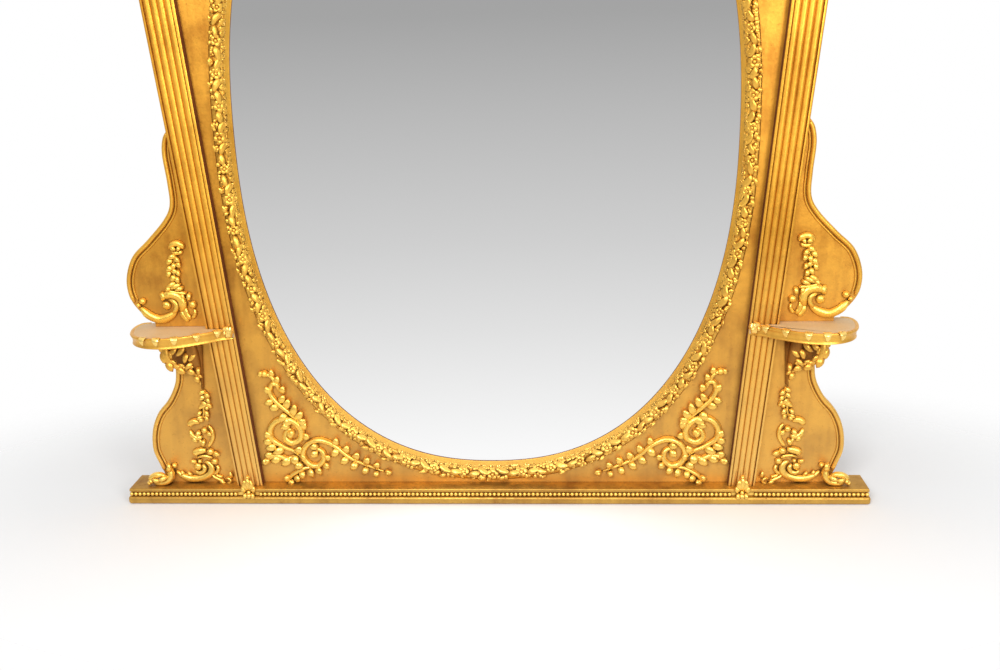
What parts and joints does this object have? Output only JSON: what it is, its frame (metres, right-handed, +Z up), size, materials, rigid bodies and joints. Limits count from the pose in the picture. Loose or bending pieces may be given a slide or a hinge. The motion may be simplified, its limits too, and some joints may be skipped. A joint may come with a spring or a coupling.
{
  "type": "pier mirror",
  "caption": "Tall gilt wood and composition mirror: oval plate in a garland moulding, splayed reeded pilasters, scrolled side wings with bracket shelves, beaded base and crested top.",
  "frame": {"origin": "centre of the base's underside, midway between its front and back edges", "axes": "+X to the viewer's right along the front, +Y back towards the wall, +Z up"},
  "size_m": [1.372, 0.1181, 1.5355],
  "materials": {
    "gilt": "matt water gilding over gesso and bole",
    "bright_gilt": "burnished gilding on composition ornament",
    "aged_gilt": "toned, darkened gilding",
    "shelf_top": "dusty beige-pink matt paint",
    "pine": "bare planed softwood",
    "mirror": "silvered plate glass",
    "brass": "aged brass",
    "steel": "dull steel screw"
  },
  "bodies": {
    "frame": {"base_plinth": "aged_gilt", "base_board": "gilt", "base_bead_moulding": "bright_gilt", "palmette_right": "bright_gilt", "palmette_left": "bright_gilt", "volute_foot_right": "bright_gilt", "volute_foot_left": "bright_gilt", "back_rail_bottom": "pine", "back_rail_top": "pine", "back_stile_right": "pine", "back_stile_left": "pine", "backboard_1": "pine", "backboard_2": "pine", "backboard_3": "pine", "mirror_plate": "mirror", "panel_lower_right": "gilt", "panel_lower_left": "gilt", "panel_upper_right": "gilt", "panel_upper_left": "gilt", "slip_moulding": "gilt", "garland_moulding": "bright_gilt", "glazing_block_upper_right": "pine", "glazing_block_upper_left": "pine", "glazing_block_lower_right": "pine", "glazing_block_lower_left": "pine", "spandrel_ornament_lower_right": "bright_gilt", "spandrel_ornament_lower_left": "bright_gilt", "spandrel_ornament_upper_right": "bright_gilt", "spandrel_ornament_upper_left": "bright_gilt", "pilaster_right": "gilt", "pilaster_left": "gilt", "capital_right": "bright_gilt", "capital_left": "bright_gilt", "wing_upper_right": "gilt", "wing_upper_left": "gilt", "wing_lower_right": "gilt", "wing_lower_left": "gilt", "wing_spray_upper_right": "bright_gilt", "wing_spray_upper_left": "bright_gilt", "wing_spray_lower_right": "bright_gilt", "wing_spray_lower_left": "bright_gilt", "shelf_right": "shelf_top", "shelf_left": "shelf_top", "shelf_rim_right": "bright_gilt", "shelf_rim_left": "bright_gilt", "corbel_right": "bright_gilt", "corbel_left": "bright_gilt", "frieze_board": "gilt", "cornice": "gilt", "pediment_board": "gilt", "crest_ornament": "bright_gilt", "hanger_plate_right": "brass", "hanger_plate_left": "brass", "hanger_screw_1_right": "steel", "hanger_screw_1_left": "steel", "hanger_screw_2_right": "steel", "hanger_screw_2_left": "steel"},
    "ring_right": {"hanger_ring_right": "brass"},
    "ring_left": {"hanger_ring_left": "brass"}
  },
  "joints": [
    {"name": "ring_right_swing", "type": "hinge", "parent": "frame", "child": "ring_right", "pos_m": [0.492, 0.03, 1.19], "axis": [1, 0, 0], "range_deg": [0, 180]},
    {"name": "ring_left_swing", "type": "hinge", "parent": "frame", "child": "ring_left", "pos_m": [-0.492, 0.03, 1.19], "axis": [1, 0, 0], "range_deg": [0, 180]}
  ]
}
